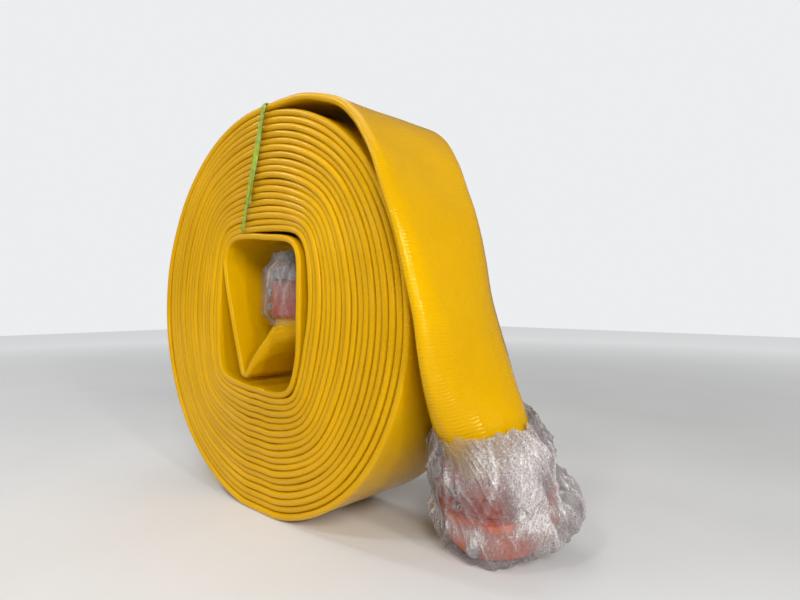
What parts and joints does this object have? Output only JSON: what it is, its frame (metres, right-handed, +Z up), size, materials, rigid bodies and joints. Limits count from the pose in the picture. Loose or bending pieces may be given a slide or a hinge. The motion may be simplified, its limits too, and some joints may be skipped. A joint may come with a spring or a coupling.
{
  "type": "rolled fire hose",
  "caption": "Flat yellow fire hose wound into a standing roll and tied with a strap, its outer end hanging down to a film-wrapped swivel coupling, the other coupling wrapped in the core.",
  "frame": {"origin": "middle of the flattened strip that the roll stands on", "axes": "+Z up; +X to the side where the outer end hangs; +Y along the roll's axis, away from the strap's loose end"},
  "size_m": [0.5587, 0.196, 0.4743],
  "materials": {
    "hose": "glossy polyurethane over a woven jacket",
    "strap": "satin",
    "bare_alloy": "satin",
    "orange_alloy": "anodised",
    "red_alloy": "anodised",
    "steel": "zinc plated",
    "seal": "matt",
    "film": "clear, crinkled"
  },
  "bodies": {
    "roll": {"hose_coil": "hose", "hose_tail": "hose", "hose_inner_run": "hose", "outer_hose_end": "hose", "inner_hose_end": "hose", "tie_strap": "strap", "tie_strap_end": "strap", "tie_knot": "strap", "outer_shank": "bare_alloy", "outer_bearing_balls": "steel", "outer_clamp_shell_1": "red_alloy", "outer_clamp_shell_2": "red_alloy", "outer_clamp_shell_3": "red_alloy", "outer_clamp_bolts": "steel", "outer_clamp_washers": "steel", "outer_clamp_nuts": "steel", "outer_wrap": "film", "inner_male_body": "bare_alloy", "inner_pin_lugs": "bare_alloy", "inner_clamp_shell_1": "red_alloy", "inner_clamp_shell_2": "red_alloy", "inner_clamp_shell_3": "red_alloy", "inner_clamp_bolts": "steel", "inner_clamp_washers": "steel", "inner_clamp_nuts": "steel", "inner_wrap": "film"},
    "swivel": {"outer_swivel_ring": "orange_alloy", "outer_pin_lugs": "bare_alloy", "outer_gasket": "seal", "outer_race_plug": "steel"}
  },
  "joints": [
    {"name": "outer_swivel_turn", "type": "hinge", "parent": "roll", "child": "swivel", "pos_m": [0.252, 0.056, 0.0299], "axis": [-0.1095, 0.4384, -0.8921], "continuous": true}
  ]
}
